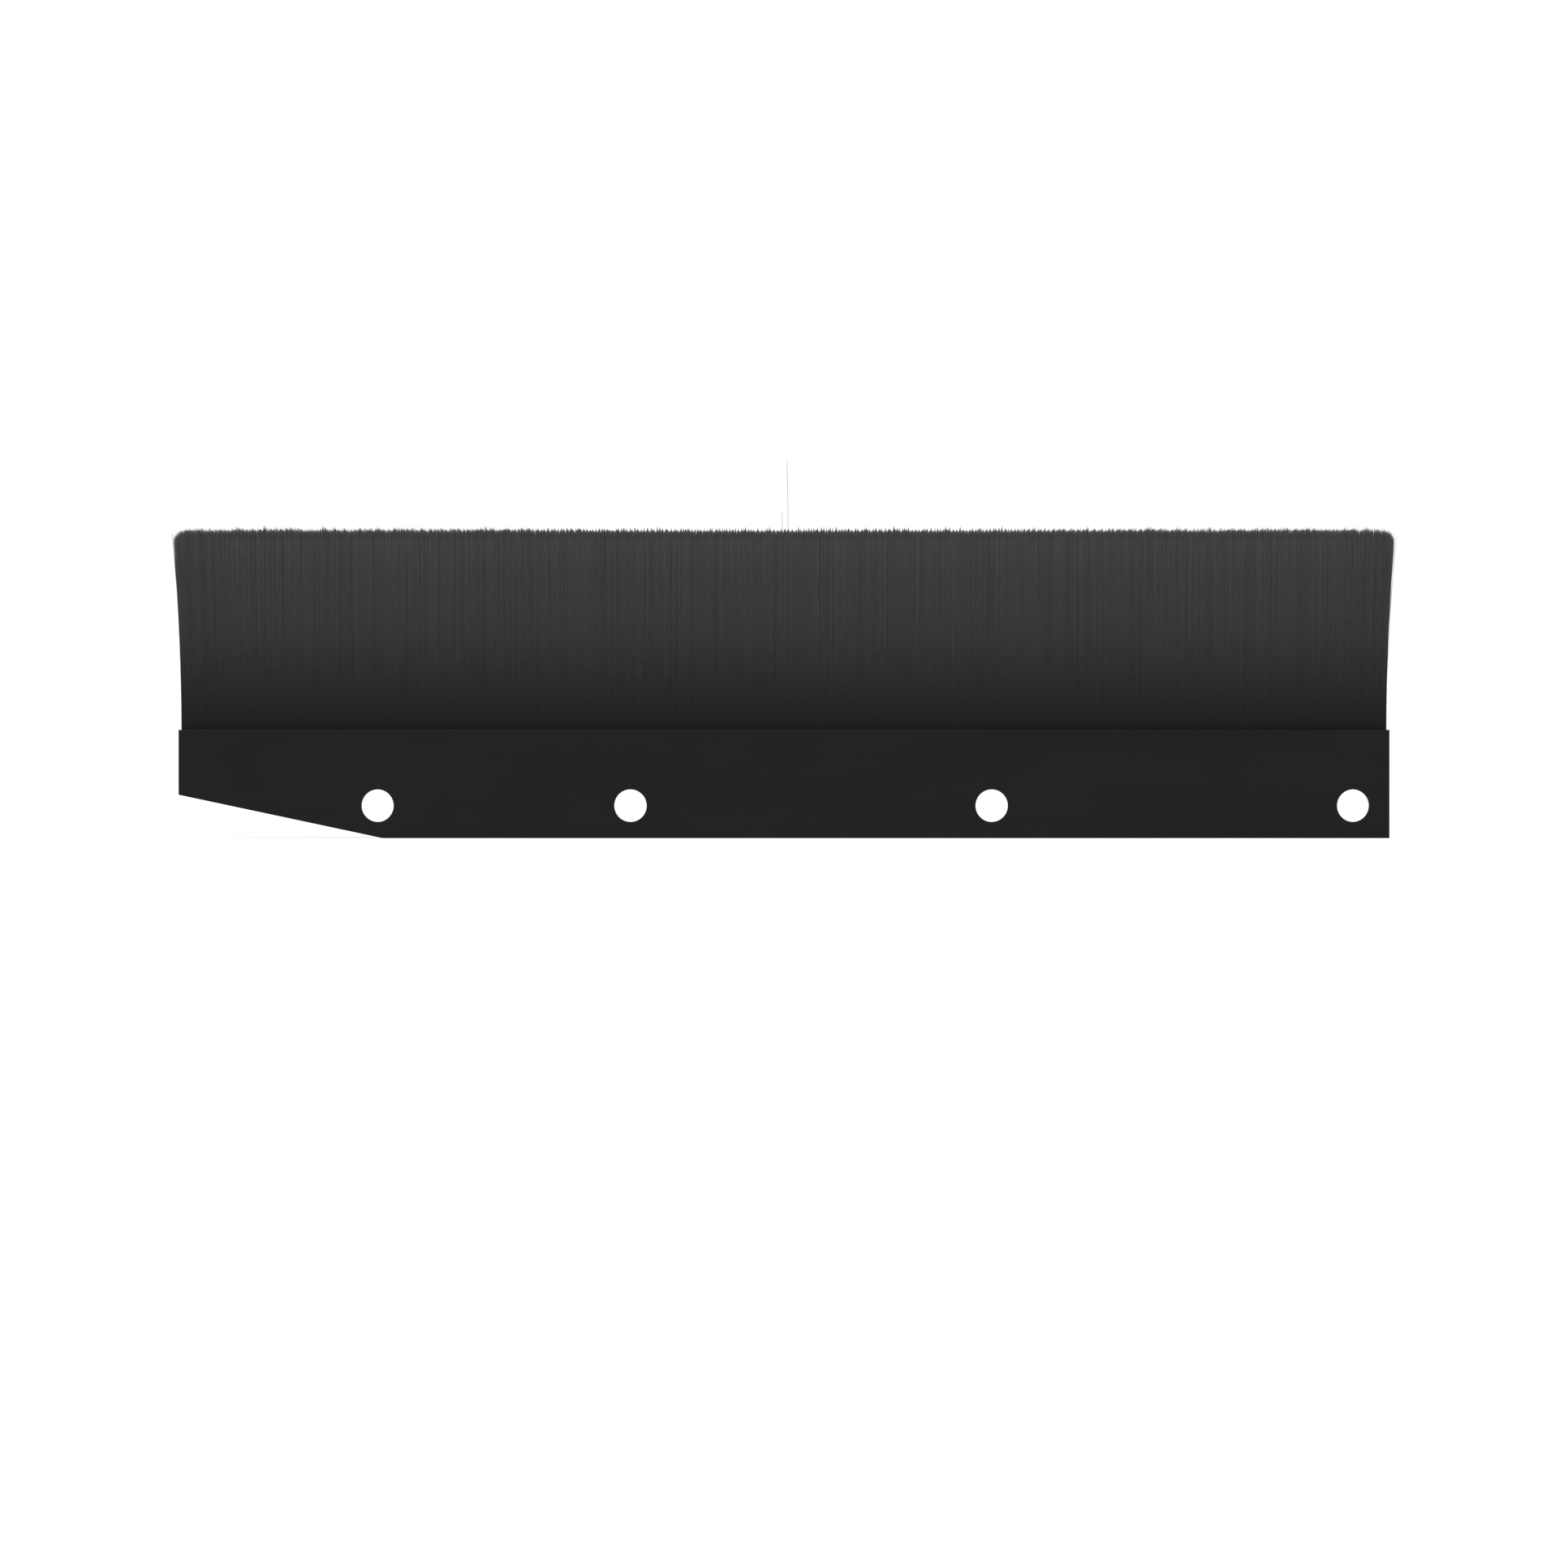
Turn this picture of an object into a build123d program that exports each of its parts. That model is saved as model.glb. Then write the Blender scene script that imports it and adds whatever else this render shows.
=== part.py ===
"""Strip brush: a drilled h-section rail that holds a metal-channel strip brush.

The rail is a black aluminium extrusion. Its flat flange bolts to a machine, and the slot behind the
flange's upper edge holds the strip: a folded steel channel that grips nylon filaments bent double
round a core wire. The free filaments are built as a row of bundles, each able to lean on its own.

Frame, in millimetres: X runs along the rail, Z points to the filament tips, and the flange's flat
mounting face is the plane Y = 0 with the rest of the rail behind it, at positive Y. The origin is on
the line of the bolt holes, halfway along the rail.
"""
import os
from math import cos, isclose, radians, sin, tan

from build123d import *

# ---- rail ------------------------------------------------------------------------------------
RAIL_LENGTH = 335.0
RAIL_HEIGHT = 30.0
HOLE_LINE_HEIGHT = 9.0  # bolt-hole line above the rail's lower edge
FLANGE_THICKNESS = 2.0
HOLDER_DEPTH = 9.0  # front face to the back of the slotted holder
HOLDER_HEIGHT = 12.0
SLOT_WIDTH = 5.2
SLOT_DEPTH = 10.0
LIP_HEIGHT = 1.0
LIP_REACH = 0.7  # how far each lip closes the slot's mouth
OUTER_CORNER_R = 0.3
FLANGE_ROOT_R = 0.8  # inside corner where the holder meets the flange

BEVEL_RISE = 12.0
BEVEL_ANGLE = 12.0  # degrees, measured from the lower edge

HOLE_DIAMETER = 9.0  # clearance for an M8 bolt
FIRST_HOLE_FROM_END = 55.0
HOLE_PITCHES = (70.0, 100.0, 100.0)

STAKE_DIAMETER = 2.4  # punch marks that lock the strip in the slot
STAKE_DEPTH = 0.8
STAKE_FROM_END = 8.0

# ---- strip in the slot -----------------------------------------------------------------------
STRIP_LENGTH = 334.6
STRIP_WIDTH = 5.0
STRIP_SHEET = 0.6
STRIP_CLEARANCE = 0.1  # under the strip and below the rail's lips
STRIP_CORNER_R = 1.6
STRIP_PINCH = 0.35  # how far each leg leans in at the top
STRIP_KNEE_DROP = 2.5  # where the legs start to lean, below their top edge
WIRE_DIAMETER = 1.6
WIRE_OVER_FLOOR = 1.0  # room for the filaments folded under the wire
PACK_GAP = 0.02  # between the filament pack and the metal round it
PACK_NECK = 2.7  # pack width where it leaves the strip

# ---- free filaments --------------------------------------------------------------------------
FILL_LENGTH = 334.2
FREE_LENGTH = 55.0  # rail's top edge to the trimmed tips
BUNDLE_COUNT = 23
BUNDLE_GAP = 0.3
HINGE_OVER_RAIL = 1.0
BASE_HALF_THICKNESS = 1.4
TIP_SPREAD = 3.0  # extra half thickness at the tips
TIP_SPREAD_POWER = 1.2
TIP_CORNER_R = 1.2
END_FLARE = 2.25  # how far the end filaments lean outwards
END_FLARE_POWER = 1.7
END_CORNER_R = 3.0
OUTLINE_STEPS = 6
BUNDLE_ROOT_CLEARANCE = 0.3

# ---- two filaments the trimmer missed ----------------------------------------------------------
FILAMENT_DIAMETER = 0.15
OVERLONG = {"overlong_filament_tall": (1.0, 20.2), "overlong_filament_short": (-0.45, 6.0)}

# ---- derived -----------------------------------------------------------------------------------
rail_bottom = -HOLE_LINE_HEIGHT
rail_top = rail_bottom + RAIL_HEIGHT
half_rail = RAIL_LENGTH / 2
slot_floor = rail_top - SLOT_DEPTH
slot_middle = FLANGE_THICKNESS + SLOT_WIDTH / 2
strip_bottom = slot_floor + STRIP_CLEARANCE
strip_top = rail_top - LIP_HEIGHT - STRIP_CLEARANCE
wire_height = strip_bottom + STRIP_SHEET + WIRE_OVER_FLOOR + WIRE_DIAMETER / 2
hinge_height = rail_top + HINGE_OVER_RAIL
tip_height = rail_top + FREE_LENGTH
bundle_pitch = FILL_LENGTH / BUNDLE_COUNT


def rectangle(y_low, z_low, width, height):
    """A rectangle in the rail's cross-section, given by its lower front corner."""
    corner = (Align.MIN, Align.MIN)
    return Pos(y_low, z_low) * Rectangle(width, height, align=corner)


def along_x(section, length):
    """Extrude a YZ cross-section equally to both sides of the rail's middle."""
    return extrude(Plane.YZ * section, length / 2, both=True)


def build_rail():
    flange = rectangle(0, rail_bottom, FLANGE_THICKNESS, RAIL_HEIGHT)
    holder = rectangle(0, rail_top - HOLDER_HEIGHT, HOLDER_DEPTH, HOLDER_HEIGHT)
    slot = rectangle(FLANGE_THICKNESS, slot_floor, SLOT_WIDTH, SLOT_DEPTH - LIP_HEIGHT)
    mouth = rectangle(
        FLANGE_THICKNESS + LIP_REACH, slot_floor, SLOT_WIDTH - 2 * LIP_REACH, SLOT_DEPTH
    )
    section = flange + holder - slot - mouth

    root = section.vertices().sort_by_distance((FLANGE_THICKNESS, rail_top - HOLDER_HEIGHT))[0]
    section = fillet(root, FLANGE_ROOT_R)
    outside = [
        v
        for v in section.vertices()
        if isclose(v.Y, rail_bottom) or min(abs(v.X), abs(v.X - HOLDER_DEPTH)) < OUTER_CORNER_R / 2
    ]
    section = fillet(outside, OUTER_CORNER_R)
    rail = along_x(section, RAIL_LENGTH)

    bevel_run = BEVEL_RISE / tan(radians(BEVEL_ANGLE))
    bevel = make_face(
        Polyline(
            (-half_rail, rail_bottom),
            (-half_rail + bevel_run, rail_bottom),
            (-half_rail, rail_bottom + BEVEL_RISE),
            close=True,
        )
    )
    rail -= extrude(Plane.XZ * bevel, HOLDER_DEPTH, both=True)

    hole_x = -half_rail + FIRST_HOLE_FROM_END
    for pitch in (*HOLE_PITCHES, 0):
        hole = Rot(X=90) * Cylinder(HOLE_DIAMETER / 2, HOLDER_DEPTH)
        rail -= Pos(hole_x, 0, 0) * hole
        hole_x += pitch

    stake_height = (slot_floor + rail_top) / 2
    on_top = (Align.CENTER, Align.CENTER, Align.MAX)
    pit = Rot(X=-90) * Cone(0, STAKE_DIAMETER / 2, STAKE_DEPTH, align=on_top)
    for side in (-1, 1):
        rail -= Pos(side * (half_rail - STAKE_FROM_END), HOLDER_DEPTH, stake_height) * pit
    return rail


def channel_outline(inset, top):
    """The folded channel's outline, moved inwards by inset and closed off at the height top."""
    half = STRIP_WIDTH / 2 - inset
    knee = strip_top - STRIP_KNEE_DROP
    lean = STRIP_PINCH * (top - knee) / STRIP_KNEE_DROP
    bottom = strip_bottom + inset
    outline = make_face(
        Polyline(
            (slot_middle - half, bottom),
            (slot_middle + half, bottom),
            (slot_middle + half, knee),
            (slot_middle + half - lean, top),
            (slot_middle - half + lean, top),
            (slot_middle - half, knee),
            close=True,
        )
    )
    floor_corners = [v for v in outline.vertices() if v.Y < knee]
    return fillet(floor_corners, STRIP_CORNER_R - inset)


def build_strip_channel():
    section = channel_outline(0, strip_top) - channel_outline(STRIP_SHEET, rail_top)
    return along_x(section, STRIP_LENGTH)


def build_core_wire():
    return along_x(Pos(slot_middle, wire_height) * Circle(WIRE_DIAMETER / 2), STRIP_LENGTH)


def build_fill_root():
    """The folded ends of the filaments, packed round the wire, with a trough the bundles lean in."""
    pack = channel_outline(STRIP_SHEET + PACK_GAP, strip_top)
    neck = rectangle(slot_middle - PACK_NECK / 2, strip_top, PACK_NECK, rail_top - strip_top)
    trough_r = BASE_HALF_THICKNESS + BUNDLE_ROOT_CLEARANCE
    trough = Pos(slot_middle, hinge_height) * Circle(trough_r)
    wire = Pos(slot_middle, wire_height) * Circle(WIRE_DIAMETER / 2 + PACK_GAP)
    return along_x(pack + neck - trough - wire, FILL_LENGTH)


def rounded_top(shoulder, outward, radius):
    """Three points of the quarter circle that turns a side, ending at its shoulder, into the top."""
    centre = shoulder[0] - outward * radius
    turn = radians(45)
    middle = (centre + outward * radius * cos(turn), shoulder[1] + radius * sin(turn))
    return shoulder, middle, (centre, shoulder[1] + radius)


def side_profile():
    """Section through the free filaments: a round heel on the hinge line, spreading to the tips."""
    rise = tip_height - TIP_CORNER_R - hinge_height

    def flank(side):
        points = []
        for step in range(OUTLINE_STEPS + 1):
            share = step / OUTLINE_STEPS
            half = BASE_HALF_THICKNESS + TIP_SPREAD * share**TIP_SPREAD_POWER
            points.append((slot_middle + side * half, hinge_height + rise * share))
        return points

    front, back = flank(-1), flank(1)
    heel = (slot_middle, hinge_height - BASE_HALF_THICKNESS)
    corners = [rounded_top(front[-1], -1, TIP_CORNER_R), rounded_top(back[-1], 1, TIP_CORNER_R)]
    outline = [
        Spline(*front),
        Spline(*back),
        ThreePointArc(front[0], heel, back[0]),
        *(ThreePointArc(*corner) for corner in corners),
        Line(corners[0][-1], corners[1][-1]),
    ]
    return make_face(outline)


def bundle_outline(left, right, left_is_end, right_is_end):
    """Front view of one bundle. A free end of the brush leans outwards and has a rounded top."""
    bottom = hinge_height - BASE_HALF_THICKNESS
    shoulder = tip_height - END_CORNER_R

    def side_edges(x, outward, is_end):
        if not is_end:
            return [Line((x, bottom), (x, tip_height))], (x, tip_height)
        points = []
        for step in range(OUTLINE_STEPS + 1):
            share = step / OUTLINE_STEPS
            lean = outward * END_FLARE * share**END_FLARE_POWER
            points.append((x + lean, rail_top + (shoulder - rail_top) * share))
        corner = rounded_top(points[-1], outward, END_CORNER_R)
        edges = [Line((x, bottom), points[0]), Spline(*points), ThreePointArc(*corner)]
        return edges, corner[-1]

    left_edges, left_tip = side_edges(left, -1, left_is_end)
    right_edges, right_tip = side_edges(right, 1, right_is_end)
    closing = [Line((left, bottom), (right, bottom)), Line(left_tip, right_tip)]
    return make_face(left_edges + right_edges + closing)


def build_bundles():
    profile = side_profile()
    bundles = {}
    for index in range(BUNDLE_COUNT):
        is_first, is_last = index == 0, index == BUNDLE_COUNT - 1
        left = -FILL_LENGTH / 2 + index * bundle_pitch + (0 if is_first else BUNDLE_GAP / 2)
        right = -FILL_LENGTH / 2 + (index + 1) * bundle_pitch - (0 if is_last else BUNDLE_GAP / 2)
        outline = bundle_outline(left, right, is_first, is_last)
        front_view = extrude(Plane.XZ * outline, RAIL_HEIGHT, both=True)
        bundles[f"bundle_{index + 1:02d}"] = front_view & along_x(profile, 2 * RAIL_LENGTH)
    return bundles


def build_overlong_filaments():
    filaments = {}
    for name, (x, length) in OVERLONG.items():
        stem = Cylinder(FILAMENT_DIAMETER / 2, length, align=(Align.CENTER, Align.CENTER, Align.MIN))
        filaments[name] = Pos(x, slot_middle, tip_height) * stem
    return filaments


nodes = {
    "rail": build_rail(),
    "strip_channel": build_strip_channel(),
    "core_wire": build_core_wire(),
    "fill_root": build_fill_root(),
    **build_bundles(),
    **build_overlong_filaments(),
}

os.makedirs("parts", exist_ok=True)
for name, solid in nodes.items():
    solid.label = name
    export_step(solid, f"parts/{name}.step")
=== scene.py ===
"""Strip brush on a drilled rail: filaments, materials, floor, light and camera round the CAD frame.

Everything is in metres in the frame of the CAD: X along the rail, Z towards the filament tips and
the rail's flat mounting face at Y = 0, looking towards negative Y.
"""

from math import pi, radians

import bpy
import numpy as np
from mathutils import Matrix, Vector


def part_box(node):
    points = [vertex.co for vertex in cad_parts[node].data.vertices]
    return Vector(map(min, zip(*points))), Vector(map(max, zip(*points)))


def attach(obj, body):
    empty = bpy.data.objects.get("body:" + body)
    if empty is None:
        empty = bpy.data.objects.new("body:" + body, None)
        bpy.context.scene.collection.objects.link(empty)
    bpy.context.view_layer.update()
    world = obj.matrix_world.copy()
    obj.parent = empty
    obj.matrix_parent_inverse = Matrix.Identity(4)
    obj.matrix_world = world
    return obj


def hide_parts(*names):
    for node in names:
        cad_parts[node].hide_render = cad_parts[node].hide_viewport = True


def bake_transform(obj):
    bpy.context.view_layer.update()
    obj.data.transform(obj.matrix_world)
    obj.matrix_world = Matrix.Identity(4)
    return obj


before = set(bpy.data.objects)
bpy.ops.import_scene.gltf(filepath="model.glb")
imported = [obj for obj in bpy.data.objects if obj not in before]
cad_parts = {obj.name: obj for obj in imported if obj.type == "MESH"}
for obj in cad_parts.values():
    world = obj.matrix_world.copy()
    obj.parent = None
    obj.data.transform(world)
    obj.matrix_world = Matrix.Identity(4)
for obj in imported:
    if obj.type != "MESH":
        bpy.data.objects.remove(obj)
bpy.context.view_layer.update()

MM = 0.001
HOLDER = "brush_holder"

# ---- places read from the frame ------------------------------------------------------------------
rail_low, rail_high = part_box("rail")
rail_top = rail_high.z
strip_low, strip_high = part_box("strip_channel")
wire_low, wire_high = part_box("core_wire")
fill_low, fill_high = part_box("fill_root")
slot_middle = (strip_low.y + strip_high.y) / 2
wire_centre = (wire_low.z + wire_high.z) / 2
wire_radius = (wire_high.z - wire_low.z) / 2
bundles = sorted(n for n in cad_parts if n.startswith("bundle_"))
middle_bundle = bundles[len(bundles) // 2]
tip_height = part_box(middle_bundle)[1].z
free_length = tip_height - rail_top

# ---- sizes of the filaments ----------------------------------------------------------------------
SEED = 20817
COLUMNS, ROWS = 100, 12  # filaments in a bundle, along and across the rail
SIDES = 4  # of the tube that a filament is made as
FILAMENT_RADIUS = 0.075 * MM
THINNEST, THICKEST = 0.93, 1.1  # share of that radius
SPIN = 0.15  # random turn of a tube about its own line
TIP_RADIUS = 0.016 * MM
TIP_POINT = 1.5 * MM  # length over which a worn tip tapers to its point
TIP_SHOULDER = 0.8  # share of the filament's radius left where the point begins
SHARES = (0.0, 0.12, 0.24, 0.36, 0.48, 0.62, 0.78)  # rings along the free length, below the point
SHADED_ABOVE = 3 * MM  # the shading's scale goes on this far above the trim line
UV_STRIPS = 64

# section of the brush
ROOT_DEPTH = 2.1 * MM  # how far below the rail's top edge the drawn filaments begin
ROOT_PINCH = 0.97  # thickness there, as a share of the thickness at the mouth
MOUTH_HALF = 1.45 * MM  # half thickness at the rail's top edge
SPREAD = 2.95 * MM  # extra half thickness at the tips
SPREAD_POWER = 1.2

# Unevenness. Inside the brush the filaments lie at random, and its two faces are combed even, so
# some amounts are (inside, loss) pairs: see calmed.
JITTER_Y = (0.9, 0.95)  # random shift across the brush, in half rows
SHUFFLE_LEAST, SHUFFLE_INSIDE = 0.06, 0.9  # random shift along the rail, in columns
SIDE_ROOM = 0.1  # columns kept clear at each side of a bundle
COMB_X = (1.05, 0.95)  # share of LEAN_X and BOW_X
LEAN_X, LEAN_Y = 0.0012, 0.0065  # random lean, as a slope
BOW_X, BOW_Y = 0.025 * MM, 0.12 * MM
TRIM_NOISE = 0.1 * MM
TRIM_RAISE = 0.04 * MM  # the mean cut stands this far above the CAD tips

# the two ends of the brush
END_FLARE = 1.95 * MM
END_FLARE_POWER = 2.1
END_REACH = 7 * MM  # how far in from an end the flare is felt
END_CORNER = 3.2 * MM  # height of the rounded corner
END_CORNER_SLIM = 1.25  # the corner's height over its width
END_CALM, END_CALM_REACH = 0.65, 2.5 * MM  # loss of random lean near an end

# wisps: small groups of tips that stand a little above the trimmed level, in millimetres
WISPS = 460
WISP_SPACING = (0.4, 1.15)
WISP_HALF_WIDTH = (0.17, 0.36)
WISP_LEAST, WISP_MOST = 0.62, 1.9
WISP_GAMMA = (3, 0.13)  # shape and scale of the rise above the least
WISP_START = 2  # how far outside the brush the first one may stand
WISP_SHORTEST, WISP_POWER = 0.2, 0.4  # how unevenly its filaments reach its height
WISP_CORNER_LOSS = 0.7

# fibres that have worked loose beside the ends
FLYAWAYS = 11  # at each end
FLYAWAY_RINGS = 9
FLYAWAY_INSET = (0.1, 0.6)  # millimetres in from the end, at the root
FLYAWAY_SHORTFALL = (0, 2.5)  # millimetres under the trim line
FLYAWAY_REACH = 1.4 * MM  # the furthest stands this much outside the flare
FLYAWAY_CROWDING = 1.6  # the higher, the more of them keep near the brush
FLYAWAY_CURVE = (1.5, 1.9)  # power of the curve that leads them outwards
FLYAWAY_RADIUS = (0.034, 0.05)  # millimetres
FLYAWAY_THICKNESS = 0.8  # share of the brush's thickness that they stand in

# fibres the trimmer missed
OVERLONG_RINGS = 12
OVERLONG_RADIUS = 0.05 * MM
OVERLONG_HIDDEN = 6 * MM  # length drawn inside the brush
OVERLONG_BEND = 0.12 * MM
OVERLONG_BEND_TURNS = 0.7  # turns of the wave that it is bent to

# filaments folded round the core wire, in the steel strip
STRIP_SHEET = 0.6 * MM
STRIP_KNEE_DROP = 2.5 * MM  # where the strip's legs start to lean in, below their top edge
FOLD_LAYERS, FOLD_STEPS = 8, 9
FOLD_GAP = 0.03 * MM  # between the outermost layer and what holds it
FOLD_TOP_DROP = 0.6 * MM  # below the rail's top edge
FOLD_MOUTH = 0.1 * MM  # half width at the top of the innermost layer
FOLD_SHIFT = (-0.05, 0.05)  # random shift along the rail, in millimetres
END_FOLDS, END_FOLD_INSET, END_FOLD_PITCH = 9, 0.1, 0.16  # packed at each open end, in millimetres
INNER_FOLD_INSET, INNER_FOLD_PITCH = 2 * MM, 1.2 * MM  # one layer along the rest of the strip

rng = np.random.default_rng(SEED)
wisp_at = np.cumsum(rng.uniform(*WISP_SPACING, WISPS)) * MM + fill_low.x - WISP_START * MM
wisp_rise = np.minimum(WISP_LEAST + rng.gamma(*WISP_GAMMA, WISPS), WISP_MOST) * MM
wisp_half = rng.uniform(*WISP_HALF_WIDTH, WISPS) * MM


def wisps(x):
    """How far the longest tips stand above the trimmed level at x."""
    beside = 1 - np.abs(x[:, None] - wisp_at[None]) / wisp_half[None]
    return (wisp_rise[None] * np.clip(beside, 0, 1)).max(axis=1)


def calmed(y, inside, loss):
    """The size of a random amount at y across the brush, which runs from -1 to 1 between its faces."""
    return inside - loss * y * y


def brush_thickness(share):
    """Half thickness of the brush at a share of the free length."""
    return MOUTH_HALF + SPREAD * share**SPREAD_POWER


# ---- filament meshes -----------------------------------------------------------------------------
def tube_points(centres, radii, spins):
    """The rings of points round each filament's line."""
    tangents = np.gradient(centres, axis=1)
    tangents /= np.linalg.norm(tangents, axis=2, keepdims=True)
    across = np.zeros_like(tangents)
    across[..., 0] = 1
    across -= tangents * (across * tangents).sum(2, keepdims=True)
    across /= np.linalg.norm(across, axis=2, keepdims=True)
    normal = np.cross(tangents, across)
    turn = spins[:, None] + np.arange(SIDES)[None] * 2 * pi / SIDES
    offset = (
        across[:, :, None] * np.cos(turn)[:, None, :, None]
        + normal[:, :, None] * np.sin(turn)[:, None, :, None]
    )
    return centres[:, :, None] + offset * radii[:, :, None, None]


def tube_faces(n, rings):
    """The walls of n closed tubes, then all their root caps, then all their tip caps."""
    first = (np.arange(n) * rings * SIDES)[:, None, None]
    ring = (np.arange(rings - 1) * SIDES)[None, :, None]
    side = np.arange(SIDES)[None, None]
    low, low_next = first + ring + side, first + ring + (side + 1) % SIDES
    walls = np.stack([low, low_next, low_next + SIDES, low + SIDES], axis=-1).reshape(-1, SIDES)
    base = first[:, 0] + np.arange(SIDES)[::-1]
    tip = first[:, 0] + (rings - 1) * SIDES + np.arange(SIDES)
    return np.concatenate([walls, base, tip]).astype(np.int32)


def tube_map(along):
    """Map places of the points: every filament is an upright strip, so a baked map keeps its shading."""
    n, rings = along.shape
    side = np.arange(SIDES)[None, None]
    strip = (np.arange(n) % UV_STRIPS)[:, None, None] + 0.25 + 0.5 * side / (SIDES - 1)
    u = np.broadcast_to(strip / UV_STRIPS, (n, rings, SIDES))
    v = np.broadcast_to(0.02 + 0.96 * along[:, :, None], (n, rings, SIDES))
    return np.stack([u, v], axis=-1).reshape(-1, 2)


def tube_mesh(name, centres, radii, along, tints, spins):
    """One mesh of many tapered filaments. centres is (n, rings, 3); radii and along are (n, rings)."""
    n, rings = radii.shape
    faces = tube_faces(n, rings)
    mesh = bpy.data.meshes.new(name)
    mesh.vertices.add(n * rings * SIDES)
    points = tube_points(centres, radii, spins)
    mesh.vertices.foreach_set("co", points.reshape(-1).astype(np.float32))
    mesh.loops.add(faces.size)
    mesh.loops.foreach_set("vertex_index", faces.reshape(-1))
    mesh.polygons.add(len(faces))
    mesh.polygons.foreach_set("loop_start", np.arange(len(faces), dtype=np.int32) * SIDES)
    mesh.polygons.foreach_set("use_smooth", np.ones(len(faces), bool))
    mesh.update(calc_edges=True)
    mesh.validate()

    per_point = {
        "along": np.repeat(along.reshape(-1), SIDES),
        "tint": np.repeat(tints, rings * SIDES),
    }
    for key, values in per_point.items():
        layer = mesh.attributes.new(key, "FLOAT", "POINT")
        layer.data.foreach_set("value", values.astype(np.float32))

    uv = tube_map(along)[faces.reshape(-1)]
    mesh.uv_layers.new(name="OFBake").data.foreach_set("uv", uv.reshape(-1).astype(np.float32))
    piece = bpy.data.objects.new(name, mesh)
    bpy.context.scene.collection.objects.link(piece)
    return piece


def free_filaments(name, left, right):
    """The filaments of one bundle between left and right, from the slot's mouth to the trimmed tips."""
    n = COLUMNS * ROWS
    column, row = np.meshgrid(np.arange(COLUMNS), np.arange(ROWS), indexing="ij")
    column, row = column.reshape(-1), row.reshape(-1)
    y = (row + 0.5) / ROWS * 2 - 1
    y += rng.uniform(-1, 1, n) / ROWS * calmed(y, *JITTER_Y)
    shuffle = SHUFFLE_LEAST + SHUFFLE_INSIDE * (1 - y * y) ** 2
    x = column + 0.5 + 0.5 * (row % 2 - 0.5) + rng.uniform(-1, 1, n) * shuffle
    x = left + np.clip(x, SIDE_ROOM, COLUMNS - SIDE_ROOM) / COLUMNS * (right - left)

    # which way is out, and how far in from the nearer end of the brush
    out = np.where(x > 0, 1.0, -1.0)
    inset = np.maximum(fill_high.x - np.abs(x), 0)
    near_end = np.exp(-inset / END_REACH)
    steadied = 1 - END_CALM * np.exp(-inset / END_CALM_REACH)
    combed = calmed(y, *COMB_X)
    lean_x = rng.normal(0, LEAN_X, n) * steadied * combed
    lean_y = rng.normal(0, LEAN_Y, n) * (1 - y * y)
    bow_x = rng.normal(0, BOW_X, n) * (1 - near_end) * combed
    bow_y = rng.normal(0, BOW_Y, n) * (1 - y * y)

    # trimmed level, with a rounded corner at each end of the brush
    corner = np.clip(1 - inset * END_CORNER_SLIM / END_CORNER, 0, 1)
    drop = END_CORNER * (1 - np.sqrt(1 - corner**2))
    tip_x = x + out * near_end * END_FLARE + lean_x * free_length
    length = free_length + TRIM_RAISE - drop + rng.normal(0, TRIM_NOISE, n)
    reached = rng.uniform(WISP_SHORTEST, 1.0, n) ** WISP_POWER
    length += wisps(tip_x) * reached * (1 - WISP_CORNER_LOSS * corner)

    below_point = np.broadcast_to(SHARES, (n, len(SHARES)))
    point_share = 1 - (TIP_POINT / length)[:, None]
    shares = np.concatenate([below_point, point_share, np.ones((n, 1))], axis=1)
    height = shares * length[:, None]
    level = height / free_length
    flare = END_FLARE * (height / (free_length - END_CORNER)) ** END_FLARE_POWER
    wave = np.sin(pi * np.minimum(level, 1))
    centres = np.empty((n, shares.shape[1] + 1, 3))
    centres[:, 1:, 0] = x[:, None] + (out * near_end)[:, None] * flare
    centres[:, 1:, 0] += lean_x[:, None] * height + bow_x[:, None] * wave
    centres[:, 1:, 1] = slot_middle + y[:, None] * brush_thickness(level)
    centres[:, 1:, 1] += lean_y[:, None] * height + bow_y[:, None] * wave
    centres[:, 1:, 2] = rail_top + height
    centres[:, 0, 0] = x
    centres[:, 0, 1] = slot_middle + y * MOUTH_HALF * ROOT_PINCH
    centres[:, 0, 2] = rail_top - ROOT_DEPTH

    radii = np.full(centres.shape[:2], FILAMENT_RADIUS)
    radii *= rng.uniform(THINNEST, THICKEST, n)[:, None]
    radii[:, -2] *= TIP_SHOULDER
    radii[:, -1] = TIP_RADIUS
    along = (centres[..., 2] - (rail_top - ROOT_DEPTH)) / (free_length + ROOT_DEPTH + SHADED_ABOVE)
    tints, spins = rng.random(n), rng.normal(0, SPIN, n)
    return tube_mesh(name, centres, radii, np.clip(along, 0, 1), tints, spins)


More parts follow.
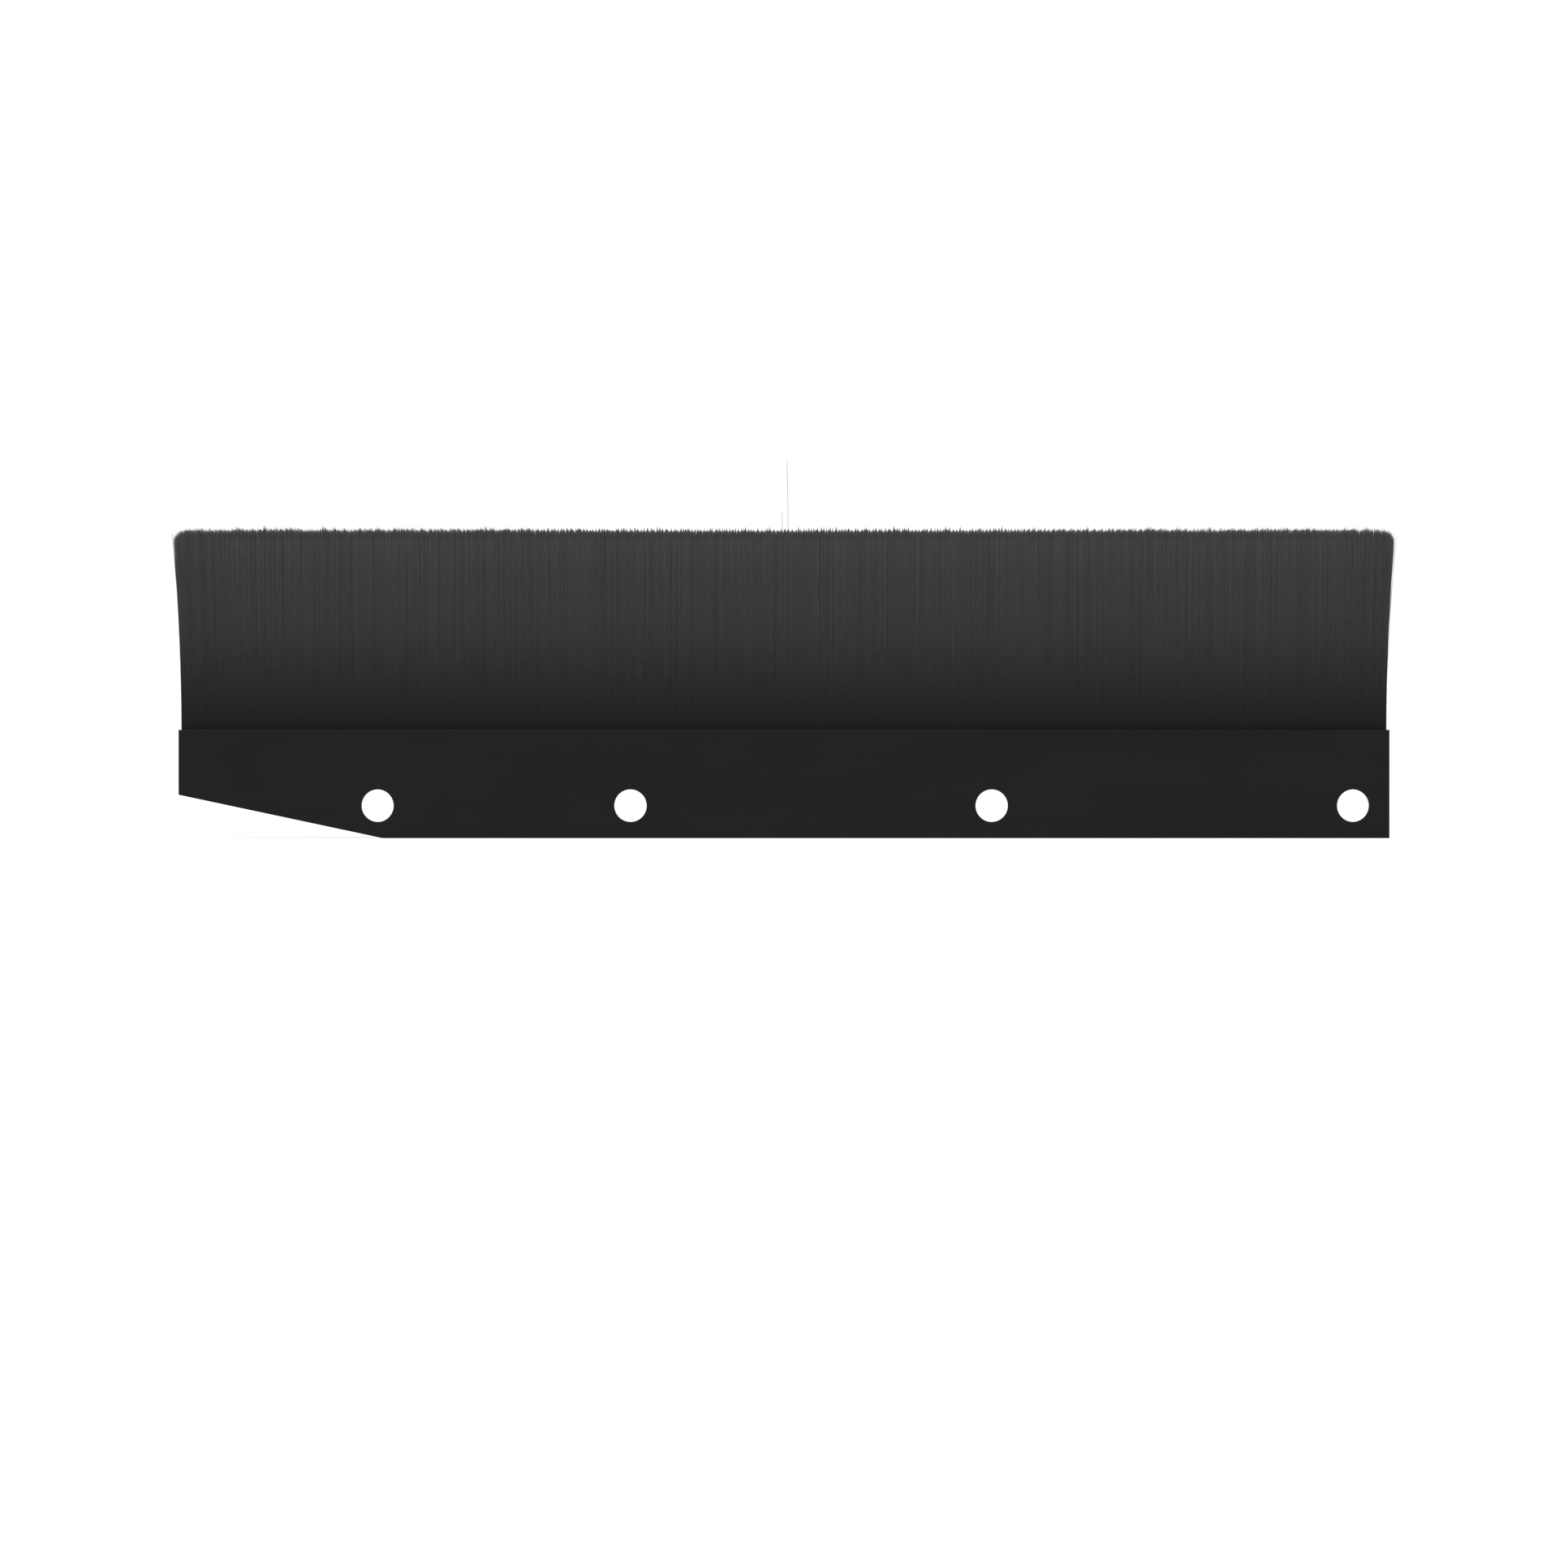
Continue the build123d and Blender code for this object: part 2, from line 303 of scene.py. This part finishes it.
def flyaway_filaments(name, side):
    """A few thin fibres that have worked loose beside one end of the brush."""
    n = FLYAWAYS
    share = np.linspace(0, 1, FLYAWAY_RINGS)[None]
    x = side * (fill_high.x - rng.uniform(*FLYAWAY_INSET, n) * MM)[:, None]
    length = (free_length - rng.uniform(*FLYAWAY_SHORTFALL, n) * MM)[:, None]
    reach = END_FLARE + FLYAWAY_REACH * np.linspace(0.02, 1, n) ** FLYAWAY_CROWDING
    stray = reach[:, None] * share ** rng.uniform(*FLYAWAY_CURVE, n)[:, None]
    depth = rng.uniform(-1, 1, n)[:, None] * brush_thickness(share) * FLYAWAY_THICKNESS
    centres = np.empty((n, FLYAWAY_RINGS, 3))
    centres[..., 0] = x + side * stray
    centres[..., 1] = slot_middle + depth
    centres[..., 2] = rail_top + share * length
    radii = (rng.uniform(*FLYAWAY_RADIUS, n) * MM)[:, None] * (1 - 0.5 * share**6)
    along = np.broadcast_to(0.05 + 0.9 * share, (n, FLYAWAY_RINGS))
    return tube_mesh(name, centres, radii, along, rng.random(n), rng.uniform(0, pi, n))


def overlong_filament(node):
    """A single fibre the trimmer missed, slightly bent, drawn from inside the brush to its tip."""
    low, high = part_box(node)
    share = np.linspace(0, 1, OVERLONG_RINGS)
    start = tip_height - OVERLONG_HIDDEN
    bend = OVERLONG_BEND * np.sin(2 * pi * OVERLONG_BEND_TURNS * share)
    centres = np.empty((1, OVERLONG_RINGS, 3))
    centres[0, :, 0] = (low.x + high.x) / 2 + bend
    centres[0, :, 1] = (low.y + high.y) / 2 - 1.5 * bend
    centres[0, :, 2] = start + share * (high.z - start)
    radii = (OVERLONG_RADIUS * (1 - 0.6 * share**30))[None]
    along = (0.88 + 0.1 * share)[None]
    return tube_mesh(node + "_fibre", centres, radii, along, np.array([0.5]), np.array([0.4]))


def folded_filaments(name):
    """Filaments bent double round the core wire in the steel strip, up to the slot's mouth."""
    stations = []  # place along the rail, and layer from the wire outwards
    for side in (-1, 1):
        for k in range(END_FOLDS):
            for layer in range(FOLD_LAYERS):
                inset = (END_FOLD_INSET + END_FOLD_PITCH * k) * MM
                stations.append((side * (fill_high.x - inset), layer))
    inner = fill_low.x + INNER_FOLD_INSET, fill_high.x - INNER_FOLD_INSET
    for x in np.arange(*inner, INNER_FOLD_PITCH):
        stations.append((x, FOLD_LAYERS - 1))
    n = len(stations)
    x = np.array([s[0] for s in stations]) + rng.uniform(*FOLD_SHIFT, n) * MM
    share = np.array([s[1] for s in stations]) / (FOLD_LAYERS - 1)

    # half width and depth of each fold round the wire, and its half width at the top
    nearest = wire_radius + FILAMENT_RADIUS
    widest = (strip_high.y - strip_low.y) / 2 - STRIP_SHEET - FILAMENT_RADIUS - FOLD_GAP
    deepest = wire_centre - fill_low.z - FILAMENT_RADIUS
    half = nearest + share * (widest - nearest)
    depth = nearest + share * (deepest - nearest)
    mouth = FOLD_MOUTH + share * (MOUTH_HALF - FOLD_GAP - FOLD_MOUTH)

    turn = np.linspace(pi, 2 * pi, FOLD_STEPS)[None]
    leg = (
        (rail_top - FOLD_TOP_DROP, mouth),
        (strip_high.z, mouth),
        (strip_high.z - STRIP_KNEE_DROP, (half + mouth) / 2),
    )
    rings = FOLD_STEPS + 2 * len(leg)
    centres = np.empty((n, rings, 3))
    centres[..., 0] = x[:, None]
    centres[:, len(leg) : -len(leg), 1] = slot_middle + half[:, None] * np.cos(turn)
    centres[:, len(leg) : -len(leg), 2] = wire_centre + depth[:, None] * np.sin(turn)
    for ring, (z, width) in enumerate(leg):
        centres[:, ring, 1:] = np.stack([slot_middle - width, np.full(n, z)], axis=1)
        centres[:, -1 - ring, 1:] = np.stack([slot_middle + width, np.full(n, z)], axis=1)
    radii = np.full((n, rings), FILAMENT_RADIUS)
    along = np.full((n, rings), 0.02)
    return tube_mesh(name, centres, radii, along, rng.random(n), rng.uniform(0, pi, n))


# ---- materials -----------------------------------------------------------------------------------
def node_material(name):
    material = bpy.data.materials.new(name)
    material.use_nodes = True
    tree = material.node_tree
    return material, tree, tree.nodes["Principled BSDF"]


def add(tree, kind, **inputs):
    node = tree.nodes.new(kind)
    for key, value in inputs.items():
        node.inputs[key].default_value = value
    return node


def attribute(tree, name):
    node = tree.nodes.new("ShaderNodeAttribute")
    node.attribute_name = name
    return node.outputs["Fac"]


def ramp(tree, fac, stops, interpolation="EASE"):
    """A colour ramp over (position, grey or colour) stops."""
    node = tree.nodes.new("ShaderNodeValToRGB")
    node.color_ramp.interpolation = interpolation
    elements = node.color_ramp.elements
    while len(elements) < len(stops):
        elements.new(0.5)
    for element, (position, value) in zip(elements, stops):
        element.position = position
        element.color = (*value, 1) if isinstance(value, tuple) else (value, value, value, 1)
    tree.links.new(fac, node.inputs["Fac"])
    return node.outputs["Color"]


def stretched_noise(tree, scale, detail=3.0, roughness=0.5):
    """Noise in the frame's own metres; scale is in features per metre along X, Y and Z."""
    coordinates = tree.nodes.new("ShaderNodeTexCoord")
    mapping = add(tree, "ShaderNodeMapping", Scale=scale)
    tree.links.new(coordinates.outputs["Object"], mapping.inputs["Vector"])
    noise = add(tree, "ShaderNodeTexNoise", Scale=1.0, Detail=detail, Roughness=roughness)
    tree.links.new(mapping.outputs["Vector"], noise.inputs["Vector"])
    return noise.outputs["Fac"]


def mix_colours(tree, kind, fac, a, b):
    """Colours a and b mixed by a fixed share fac."""
    node = tree.nodes.new("ShaderNodeMix")
    node.data_type = "RGBA"
    node.blend_type = kind
    node.inputs[0].default_value = fac
    tree.links.new(a, node.inputs[6])
    tree.links.new(b, node.inputs[7])
    return node.outputs[2]


def bump(tree, shader, height, strength, distance):
    node = add(tree, "ShaderNodeBump", Strength=strength, Distance=distance)
    tree.links.new(height, node.inputs["Height"])
    tree.links.new(node.outputs["Normal"], shader.inputs["Normal"])


def black_anodised():
    """Matt black anodised aluminium with faint lengthwise die lines and a fine etched grain."""
    material, tree, shader = node_material("black_anodised")
    shader.inputs["Specular IOR Level"].default_value = 0.12
    cloud = stretched_noise(tree, (22, 60, 60), detail=4)
    lines = stretched_noise(tree, (6, 2600, 2600), detail=2)
    grain = stretched_noise(tree, (5200, 5200, 5200), detail=2)
    base = ramp(tree, cloud, [(0.3, (0.0055, 0.0055, 0.0052)), (0.7, (0.0071, 0.007, 0.0066))])
    lined = mix_colours(tree, "MULTIPLY", 0.35, base, ramp(tree, lines, [(0.3, 0.75), (0.7, 1.0)]))
    tree.links.new(lined, shader.inputs["Base Color"])
    clouded = ramp(tree, cloud, [(0.3, 0.46), (0.7, 0.58)])
    rough = mix_colours(tree, "MIX", 0.35, clouded, ramp(tree, lines, [(0.3, 0.4), (0.7, 0.66)]))
    tree.links.new(rough, shader.inputs["Roughness"])
    bump(tree, shader, mix_colours(tree, "MIX", 0.4, grain, lines), 0.22, 0.03 * MM)
    return material


def galvanised_steel():
    """Zinc-coated strip steel with a fine crystal spangle and rolling marks."""
    material, tree, shader = node_material("galvanised_steel")
    shader.inputs["Metallic"].default_value = 1.0
    coordinates = tree.nodes.new("ShaderNodeTexCoord")
    spangle = add(tree, "ShaderNodeTexVoronoi", Scale=420.0)
    tree.links.new(coordinates.outputs["Object"], spangle.inputs["Vector"])
    cloud = stretched_noise(tree, (180, 900, 900), detail=4)
    stops = [(0.2, (0.36, 0.37, 0.39)), (0.8, (0.5, 0.51, 0.53))]
    tone = ramp(tree, spangle.outputs["Color"], stops)
    dull = mix_colours(tree, "MULTIPLY", 0.6, tone, ramp(tree, cloud, [(0.35, 0.62), (0.65, 1.0)]))
    tree.links.new(dull, shader.inputs["Base Color"])
    tree.links.new(ramp(tree, cloud, [(0.3, 0.32), (0.7, 0.52)]), shader.inputs["Roughness"])
    bump(tree, shader, cloud, 0.25, 0.02 * MM)
    return material


def steel_wire():
    """Drawn steel wire with fine lengthwise scratches."""
    material, tree, shader = node_material("steel_wire")
    shader.inputs["Metallic"].default_value = 1.0
    drawn = stretched_noise(tree, (60, 5200, 5200), detail=3)
    tone = ramp(tree, drawn, [(0.3, (0.26, 0.26, 0.265)), (0.7, (0.44, 0.44, 0.45))])
    tree.links.new(tone, shader.inputs["Base Color"])
    tree.links.new(ramp(tree, drawn, [(0.3, 0.3), (0.7, 0.5)]), shader.inputs["Roughness"])
    bump(tree, shader, drawn, 0.3, 0.01 * MM)
    return material


def black_nylon():
    """Black nylon filament with painted shade and light: darker at the root and greyer towards the tip,
    standing in for the shade among the packed filaments, not for wear; each a little different, with a
    random scuff mottle.
    """
    material, tree, shader = node_material("black_nylon")
    shader.inputs["Roughness"].default_value = 0.5
    shader.inputs["Specular IOR Level"].default_value = 0.15
    # painted shade and light: these greys along each filament darken towards the root and lighten towards
    # the tip, in place of the shade deep among the packed filaments
    painted_shade_greys = [
        (0.0, 0.0132), (0.07, 0.0142), (0.13, 0.0153), (0.25, 0.0227), (0.37, 0.0318),
        (0.46, 0.0390), (0.6, 0.0463), (0.75, 0.0509), (0.9, 0.0698), (0.96, 0.0510),
    ]
    stops = [(at, (grey, grey, grey * (1.03 + 0.04 * at))) for at, grey in painted_shade_greys]  # slightly blue
    tone = ramp(tree, attribute(tree, "along"), stops, "LINEAR")
    shade = ramp(tree, attribute(tree, "tint"), [(0.0, 0.96), (0.85, 1.0), (1.0, 1.05)])
    each = mix_colours(tree, "MULTIPLY", 1.0, tone, shade)
    scuff = stretched_noise(tree, (900, 900, 260), detail=3)
    # the scuff noise is a random mottle; the colour it multiplies still carries the painted shade and light
    # of the ramp above
    scuff_and_painted_shade = mix_colours(tree, "MULTIPLY", 0.5, each, ramp(tree, scuff, [(0.3, 0.92), (0.7, 1.06)]))
    tree.links.new(scuff_and_painted_shade, shader.inputs["Base Color"])
    return material


def give(piece, material):
    piece.data.materials.clear()
    piece.data.materials.append(material)
    return piece


# ---- carried-over CAD nodes ----------------------------------------------------------------------
WELD_DISTANCE = 0.002 * MM
SHARP_ANGLE = radians(40)


def finish_metal(node, material, edge):
    """A CAD node with its material and its sharp edges broken."""
    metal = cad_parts[node]
    for slot in metal.material_slots:
        slot.material = material
    weld = metal.modifiers.new("weld", "WELD")
    weld.merge_threshold = WELD_DISTANCE
    bevel = metal.modifiers.new("edge_break", "BEVEL")
    bevel.width = edge
    bevel.segments = 2
    bevel.limit_method = "ANGLE"
    bevel.angle_limit = SHARP_ANGLE


finish_metal("rail", black_anodised(), 0.14 * MM)
finish_metal("strip_channel", galvanised_steel(), 0.08 * MM)
finish_metal("core_wire", steel_wire(), 0.08 * MM)

# ---- filaments; only the folded ones go on a body, the holder's ----------------------------------
nylon = black_nylon()


def bend_with(piece):
    """Bakes the piece's placement into its mesh; it is not tied to the holder or to the bundle's body here.
    """
    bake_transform(piece)


boxes = [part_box(b) for b in bundles]
between = [(a[1].x + b[0].x) / 2 for a, b in zip(boxes, boxes[1:])]
borders = [fill_low.x, *between, fill_high.x]
for index, bundle in enumerate(bundles):
    left, right = borders[index], borders[index + 1]
    piece = give(free_filaments(bundle + "_filaments", left, right), nylon)
    bend_with(piece)
    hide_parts(bundle)

for side, bundle in ((-1, bundles[0]), (1, bundles[-1])):
    piece = give(flyaway_filaments(bundle + "_flyaways", side), nylon)
    bend_with(piece)

for node in ("overlong_filament_tall", "overlong_filament_short"):
    piece = give(overlong_filament(node), nylon)
    bend_with(piece)
    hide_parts(node)

folds = give(folded_filaments("folded_filaments"), nylon)
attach(folds, HOLDER)
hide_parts("fill_root")

# ---- floor, light and camera ---------------------------------------------------------------------
FLOOR_HALF = 40.0
FLOOR_GREY, FLOOR_GLOW = 0.27, 0.73  # the glow keeps the shadows on the floor pale
SKY_LIGHT, SKY_SEEN = 0.62, 1.01  # brightness of the surroundings as a light, and to the camera
SUN_ENERGY, SUN_WIDTH = 3.0, radians(70)
SUN_DIRECTION = Vector((0.35, 0.5, -1.0))
CAMERA_DISTANCE = 1.176
CAMERA_LENS, CAMERA_SENSOR = 97.6, 36


def add_floor():
    half = FLOOR_HALF
    corners = [(-half, -half), (half, -half), (half, half), (-half, half)]
    mesh = bpy.data.meshes.new("floor")
    mesh.from_pydata([(x, y, rail_low.z) for x, y in corners], [], [(0, 1, 2, 3)])
    floor = bpy.data.objects.new("floor", mesh)
    bpy.context.scene.collection.objects.link(floor)
    paint, _, shader = node_material("pale_floor")
    shader.inputs["Base Color"].default_value = (FLOOR_GREY, FLOOR_GREY, FLOOR_GREY, 1)
    shader.inputs["Emission Color"].default_value = (1, 1, 1, 1)
    shader.inputs["Emission Strength"].default_value = FLOOR_GLOW
    shader.inputs["Roughness"].default_value = 0.9
    shader.inputs["Specular IOR Level"].default_value = 0.0
    give(floor, paint)


def add_surroundings():
    """An even white studio, which lights the object less than it shows."""
    world = bpy.data.worlds.new("studio")
    world.use_nodes = True
    bpy.context.scene.world = world
    tree = world.node_tree
    background = tree.nodes["Background"]
    background.inputs["Color"].default_value = (1, 1, 1, 1)
    ray = tree.nodes.new("ShaderNodeLightPath")
    level = tree.nodes.new("ShaderNodeMapRange")
    level.inputs["To Min"].default_value = SKY_LIGHT
    level.inputs["To Max"].default_value = SKY_SEEN
    tree.links.new(ray.outputs["Is Camera Ray"], level.inputs["Value"])
    tree.links.new(level.outputs["Result"], background.inputs["Strength"])


def add_key_light():
    light = bpy.data.lights.new("key", "SUN")
    light.energy = SUN_ENERGY
    light.angle = SUN_WIDTH
    sun = bpy.data.objects.new("key", light)
    sun.rotation_euler = SUN_DIRECTION.to_track_quat("-Z", "Y").to_euler()
    bpy.context.scene.collection.objects.link(sun)


def add_camera():
    """A long lens straight in front of the rail's mounting face, level with the rail's middle."""
    data = bpy.data.cameras.new("camera")
    data.sensor_width = CAMERA_SENSOR
    data.lens = CAMERA_LENS
    camera = bpy.data.objects.new("camera", data)
    camera.location = (0, rail_low.y - CAMERA_DISTANCE, (rail_low.z + rail_high.z) / 2)
    camera.rotation_euler = (radians(90), 0, 0)
    bpy.context.scene.collection.objects.link(camera)
    bpy.context.scene.camera = camera


add_floor()
add_surroundings()
add_key_light()
add_camera()
bpy.context.scene.view_settings.view_transform = "Standard"
